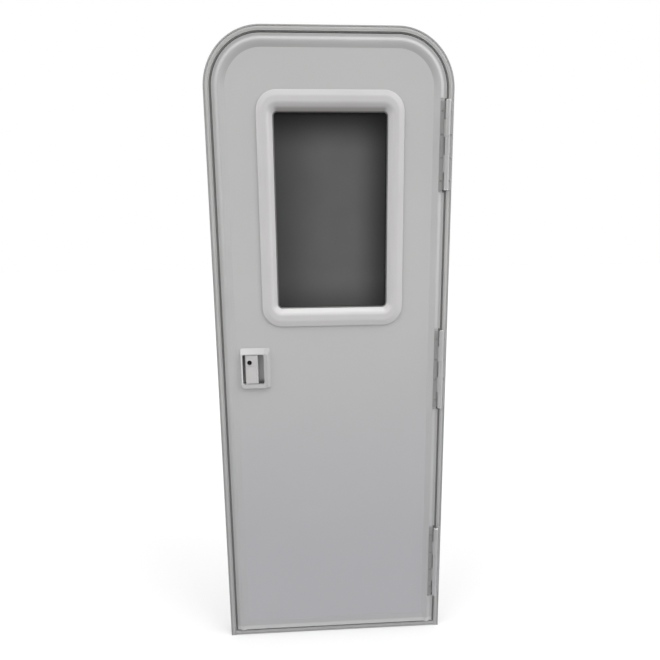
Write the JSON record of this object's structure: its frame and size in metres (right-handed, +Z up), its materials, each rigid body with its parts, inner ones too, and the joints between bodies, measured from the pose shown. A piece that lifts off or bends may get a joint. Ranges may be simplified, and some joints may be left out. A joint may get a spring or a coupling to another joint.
{
  "type": "caravan entry door",
  "caption": "Caravan entry door: round-cornered leaf with a tinted window and paddle lock, hinged in a flanged frame.",
  "frame": {"origin": "middle of the bottom edge of the wall cut-out, on the wall's outer face where the back of the flange seats", "axes": "+Z up, +X to the right seen from outside (hinge side), +Y into the caravan"},
  "size_m": [0.667, 0.0775, 1.784],
  "materials": {
    "frame_paint": "white painted aluminium extrusion",
    "cover_vinyl": "flexible white vinyl strip",
    "rail_paint": "white painted aluminium extrusion",
    "hinge_paint": "white painted aluminium",
    "pin_steel": "plated steel",
    "seal_rubber": "black sponge rubber",
    "skin_gelcoat": "smooth white fibreglass skin",
    "core_foam": "insulating foam",
    "inner_panel": "vinyl faced plywood",
    "window_trim": "moulded white plastic",
    "tinted_glass": "dark tinted safety glass",
    "lock_white": "moulded white housing",
    "paddle_grey": "painted die casting",
    "key_dark": "dark key cylinder",
    "lock_steel": "zinc plated steel",
    "inside_plastic": "black moulded plastic"
  },
  "bodies": {
    "frame": {"left_jamb": "frame_paint", "right_jamb": "frame_paint", "head_jamb": "frame_paint", "sill": "frame_paint", "left_screw_cover": "cover_vinyl", "right_screw_cover": "cover_vinyl", "head_screw_cover": "cover_vinyl", "sill_screw_cover": "cover_vinyl", "stop_seal": "seal_rubber", "strike_plate": "lock_steel", "lower_hinge_frame_leaf": "hinge_paint", "lower_hinge_pin": "pin_steel", "middle_hinge_frame_leaf": "hinge_paint", "middle_hinge_pin": "pin_steel", "upper_hinge_frame_leaf": "hinge_paint", "upper_hinge_pin": "pin_steel"},
    "leaf": {"leaf_left_rail": "rail_paint", "leaf_right_rail": "rail_paint", "leaf_head_rail": "rail_paint", "leaf_bottom_rail": "rail_paint", "outer_skin": "skin_gelcoat", "lower_foam": "core_foam", "lock_level_foam": "core_foam", "upper_foam": "core_foam", "inner_skin": "inner_panel", "window_outer_ring": "window_trim", "window_glass": "tinted_glass", "window_gasket": "seal_rubber", "window_inner_ring": "window_trim", "lock_bezel": "lock_white", "paddle_pin": "pin_steel", "lock_case": "lock_steel", "edge_plate": "lock_steel", "latch_bolt": "lock_steel", "dead_bolt": "lock_steel", "inside_lock_plate": "inside_plastic", "inside_lever": "inside_plastic", "inside_thumb_turn": "inside_plastic", "lower_hinge_door_leaf": "hinge_paint", "middle_hinge_door_leaf": "hinge_paint", "upper_hinge_door_leaf": "hinge_paint"},
    "paddle": {"lock_paddle": "paddle_grey"},
    "key": {"key_plug": "key_dark"}
  },
  "joints": [
    {"name": "door_swing", "type": "hinge", "parent": "frame", "child": "leaf", "pos_m": [0.3145, -0.016, 0.8315], "axis": [0, 0, 1], "range_deg": [0, 170]},
    {"name": "paddle_pull", "type": "hinge", "parent": "leaf", "child": "paddle", "pos_m": [-0.249, -0.0136, 0.845], "axis": [0, 0, -1], "range_deg": [0, 35], "stiffness_Nm_per_rad": 0.4, "springref_deg": -20.05},
    {"name": "key_turn", "type": "hinge", "parent": "paddle", "child": "key", "pos_m": [-0.2398, -0.013, 0.8655], "axis": [0, 1, 0], "range_deg": [0, 90]}
  ]
}
